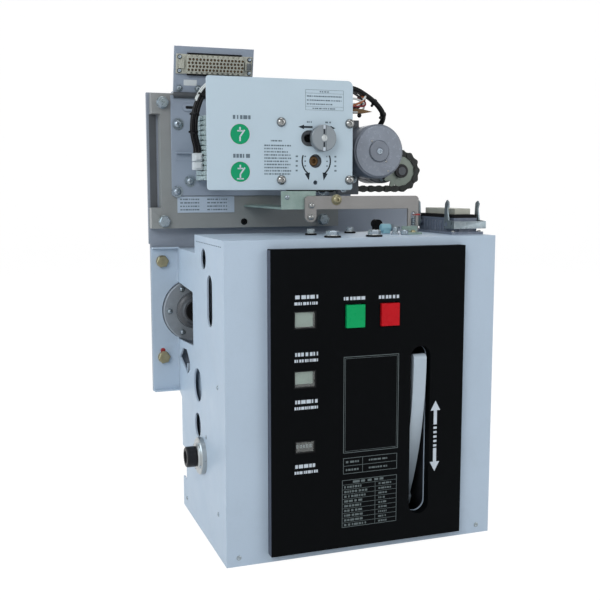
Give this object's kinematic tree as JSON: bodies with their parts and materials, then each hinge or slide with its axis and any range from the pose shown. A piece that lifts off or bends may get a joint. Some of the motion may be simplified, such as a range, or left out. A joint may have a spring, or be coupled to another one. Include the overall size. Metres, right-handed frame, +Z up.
{
  "type": "vacuum circuit breaker operating unit",
  "caption": "Gas-insulated breaker drive unit: sheet-steel housing with face panel, buttons and charging handle on a mounting plate, chain-driven switch mechanism above.",
  "frame": {"origin": "centre of the underside of the housing bottom plate", "axes": "+Z up, +Y to the back (towards the mounting plate), +X to the right of someone facing the face panel"},
  "size_m": [0.454, 0.2905, 0.6706],
  "materials": {
    "housing_paint": "satin powder coat",
    "plate_grey": "satin paint",
    "dark_steel": "satin dark paint",
    "bright_metal": "turned",
    "black_steel": "black oxide",
    "panel_black": "fine black powder coat",
    "flag_green": "matte",
    "black_plastic": "matte",
    "button_green": "gloss",
    "button_red": "gloss",
    "handle_white": "satin",
    "diecast_grey": "die-cast, powder coated",
    "black_rubber": "matte",
    "insert_ivory": "moulded",
    "lever_steel": "zinc-plated",
    "zinc_steel": "zinc-plated",
    "bar_steel": "zinc-plated, worn",
    "frame_grey": "satin",
    "base_grey": "satin",
    "label_silver": "bare foil label",
    "cover_paint": "satin powder coat",
    "knob_metal": "turned",
    "disc_green": "gloss",
    "shaft_brass": "turned",
    "motor_grey": "satin",
    "sprocket_steel": "machined",
    "chain_black": "oiled black steel",
    "wire_black": "matte",
    "terminal_clear": "translucent",
    "plug_white": "moulded"
  },
  "bodies": {
    "root": {"mounting_plate": "plate_grey", "left_side": "housing_paint", "right_side": "housing_paint", "front_cover": "housing_paint", "top_plate": "housing_paint", "bottom_plate": "housing_paint", "rear_panel": "housing_paint", "mechanism_block": "dark_steel", "seal_flanges": "dark_steel", "shaft_disc": "bright_metal", "shaft_hub": "black_steel", "face_panel": "panel_black", "handle_pocket": "black_steel", "on_off_flag": "flag_green", "charge_flag": "flag_green", "counter_dial": "black_plastic", "connector_base": "diecast_grey", "connector_gasket": "black_rubber", "connector_insert": "insert_ivory", "latch_bracket": "zinc_steel", "rubber_bush": "black_rubber", "interlock_bar": "bar_steel", "link_bracket": "zinc_steel", "standoff_frame": "frame_grey", "base_plate": "base_grey", "rating_plate": "label_silver", "plug_bracket": "frame_grey", "plug_insert": "insert_ivory", "cover_plate": "cover_paint", "cover_posts": "zinc_steel", "isolator_disc": "disc_green", "earth_disc": "disc_green", "crank_shaft": "shaft_brass", "gear_case": "dark_steel", "motor": "motor_grey", "motor_bracket": "dark_steel", "motor_gearbox": "dark_steel", "drive_sprocket": "sprocket_steel", "driven_sprocket": "sprocket_steel", "drive_chain": "chain_black", "wire_bundle": "wire_black", "motor_cable": "wire_black", "terminal_blocks": "terminal_clear", "wire_plugs": "plug_white"},
    "on_button": {"on_button": "button_green"},
    "off_button": {"off_button": "button_red"},
    "charging_handle": {"charging_handle": "handle_white"},
    "selector_knob": {"selector_knob": "knob_metal"},
    "near_lever": {"near_lever": "lever_steel"},
    "far_lever": {"far_lever": "lever_steel"}
  },
  "joints": [
    {"name": "on_button_slide", "type": "slide", "parent": "root", "child": "on_button", "axis": [0, 1, 0], "range_m": [0, 0.004], "stiffness_N_per_m": 300, "springref_m": -0.004},
    {"name": "off_button_slide", "type": "slide", "parent": "root", "child": "off_button", "axis": [0, 1, 0], "range_m": [0, 0.004], "stiffness_N_per_m": 300, "springref_m": -0.004},
    {"name": "charging_handle_hinge", "type": "hinge", "parent": "root", "child": "charging_handle", "pos_m": [0.0723, -0.08358, 0.05], "axis": [1, 0, 0], "range_deg": [0, 50]},
    {"name": "selector_slide", "type": "slide", "parent": "root", "child": "selector_knob", "axis": [-1, 0, 0], "range_m": [0, 0.017]},
    {"name": "near_lever_hinge", "type": "hinge", "parent": "root", "child": "near_lever", "pos_m": [0.162, -0.0775, 0.424], "axis": [-1, 0, 0], "range_deg": [0, 35]},
    {"name": "far_lever_hinge", "type": "hinge", "parent": "root", "child": "far_lever", "pos_m": [0.162, 0.0065, 0.424], "axis": [1, 0, 0], "range_deg": [0, 35]}
  ]
}
